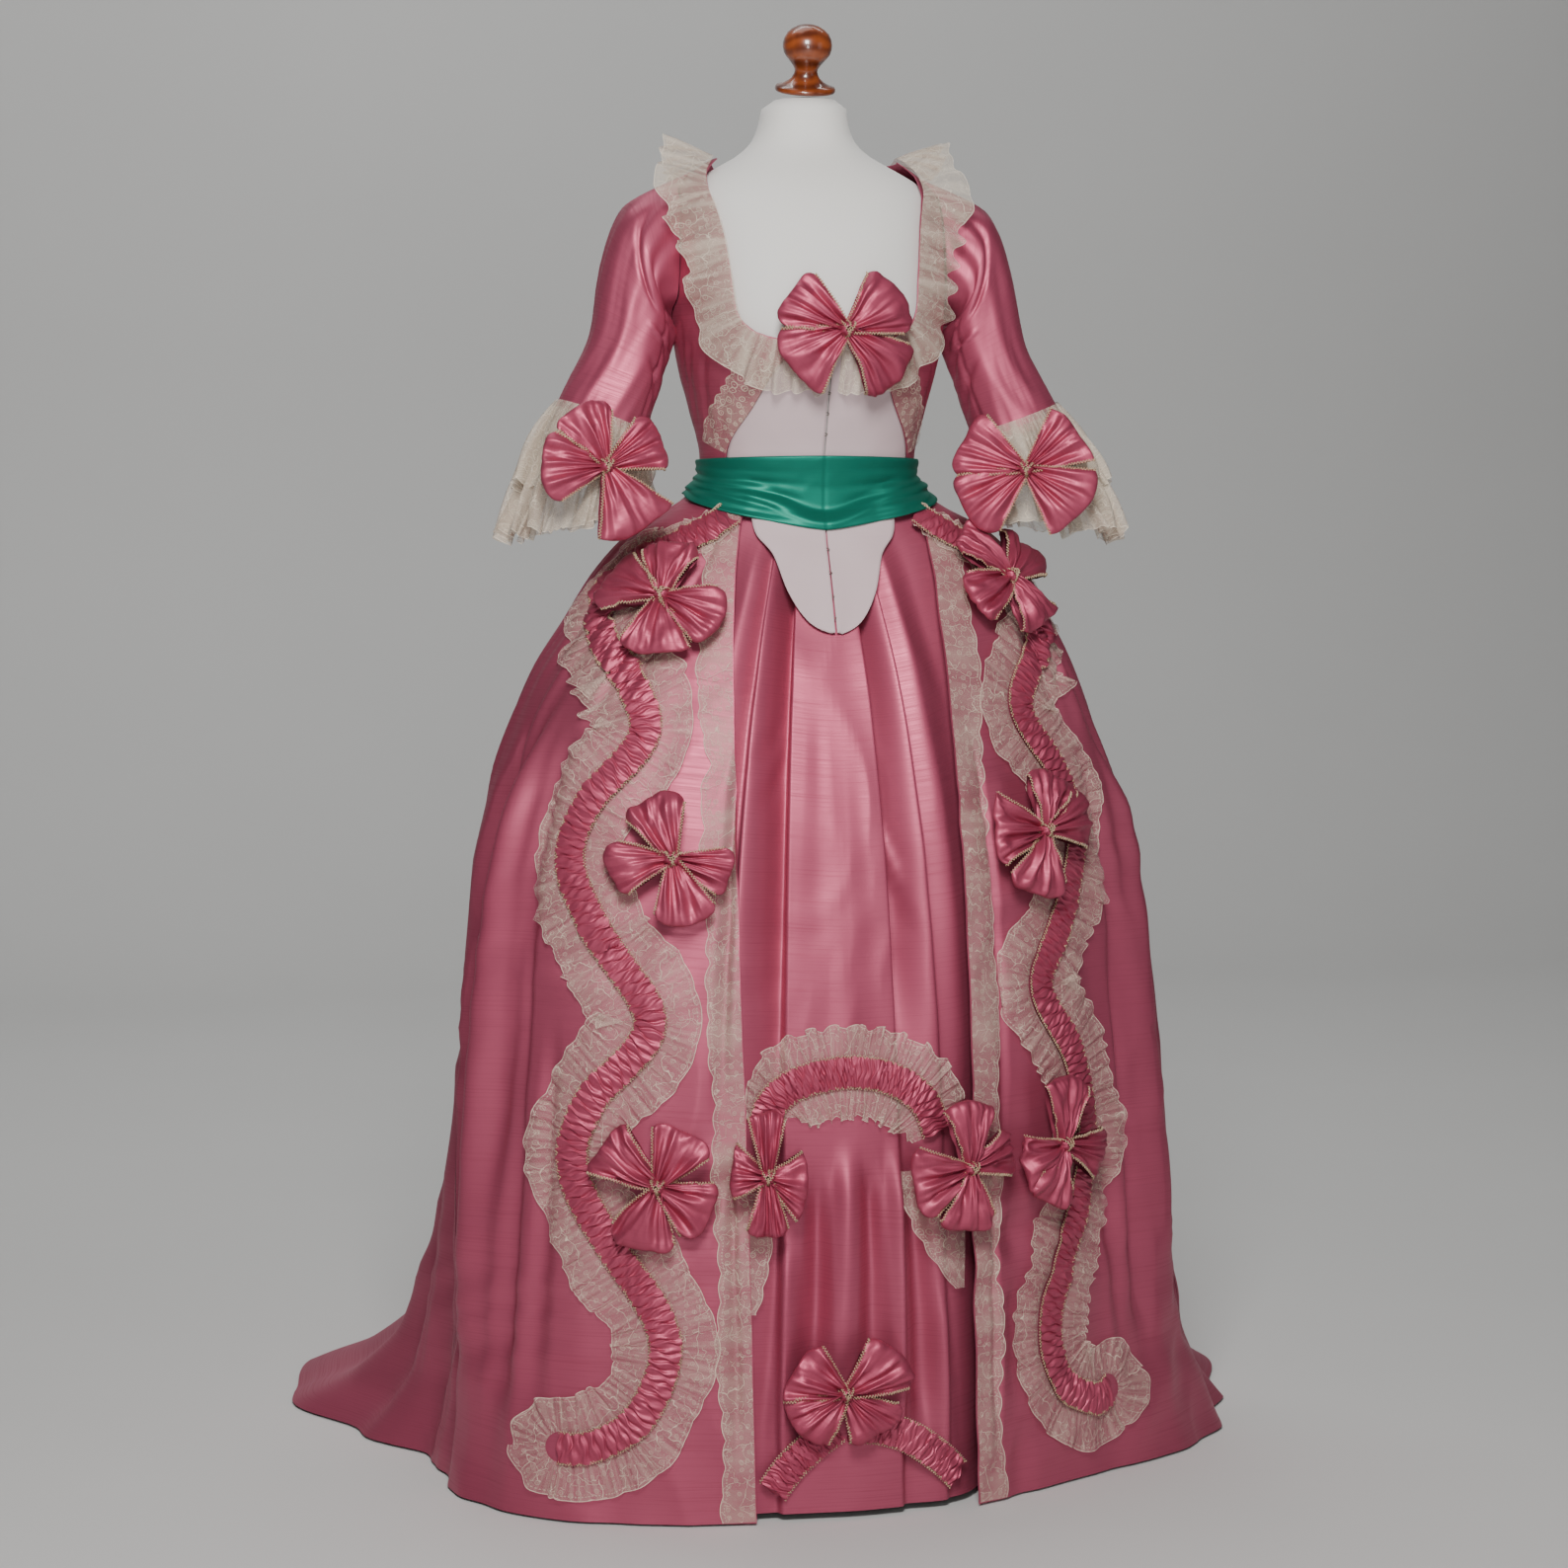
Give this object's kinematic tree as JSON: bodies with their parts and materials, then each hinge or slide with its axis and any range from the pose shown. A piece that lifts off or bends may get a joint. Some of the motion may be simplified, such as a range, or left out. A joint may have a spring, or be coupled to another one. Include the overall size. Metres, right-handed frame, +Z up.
{
  "type": "english gown on a dress form",
  "caption": "Late eighteenth-century style silk gown with petticoat, sash, lace and bows, standing on a limbless dress form.",
  "frame": {"origin": "centre of the underside of the stand's round base, on the floor", "axes": "+Z up; the gown faces -Y and its train lies along +Y; the wearer's left is +X"},
  "size_m": [1.1933, 1.1327, 1.6714],
  "materials": {
    "silk": "pink silk taffeta with a soft sheen",
    "silk_trim": "pink silk ribbon and gathered bands with a looped cream edge",
    "lace": "cream machine lace on net",
    "stomacher": "pale mauve pink satin",
    "sash": "emerald green silk satin",
    "form": "white cotton jersey over padding",
    "wood": "varnished turned wood"
  },
  "bodies": {
    "root": {"stand_base": "wood", "stand_pole": "wood", "neck_knob": "wood", "form_torso": "form", "petticoat": "silk", "skirt_right": "silk", "skirt_left": "silk", "skirt_back": "silk", "bodice_right": "silk", "bodice_left": "silk", "bodice_back": "silk", "sleeve_right": "silk", "sleeve_left": "silk", "stomacher_right": "stomacher", "stomacher_left": "stomacher", "tab_right": "stomacher", "tab_left": "stomacher", "sash": "sash", "ruffle_lower_right": "lace", "ruffle_upper_right": "lace", "ruffle_lower_left": "lace", "ruffle_upper_left": "lace", "neck_ruffle": "lace", "stomacher_lace_right": "lace", "stomacher_lace_left": "lace", "front_lace_right": "lace", "front_lace_left": "lace", "petticoat_lace_right": "lace", "petticoat_lace_left": "lace", "serpentine_right_lace_outer": "lace", "serpentine_right_lace_inner": "lace", "serpentine_left_lace_outer": "lace", "serpentine_left_lace_inner": "lace", "arch_lace_outer": "lace", "arch_lace_inner": "lace", "serpentine_right_band": "silk_trim", "serpentine_left_band": "silk_trim", "arch_band": "silk_trim", "swag_right": "silk_trim", "swag_left": "silk_trim", "bow_right_top": "silk_trim", "bow_right_middle": "silk_trim", "bow_right_bottom": "silk_trim", "bow_left_top": "silk_trim", "bow_left_middle": "silk_trim", "bow_left_bottom": "silk_trim", "bow_petticoat_right": "silk_trim", "bow_petticoat_left": "silk_trim", "bow_petticoat_hem": "silk_trim", "bow_chest": "silk_trim", "bow_sleeve_right": "silk_trim", "bow_sleeve_left": "silk_trim"}
  },
  "joints": []
}
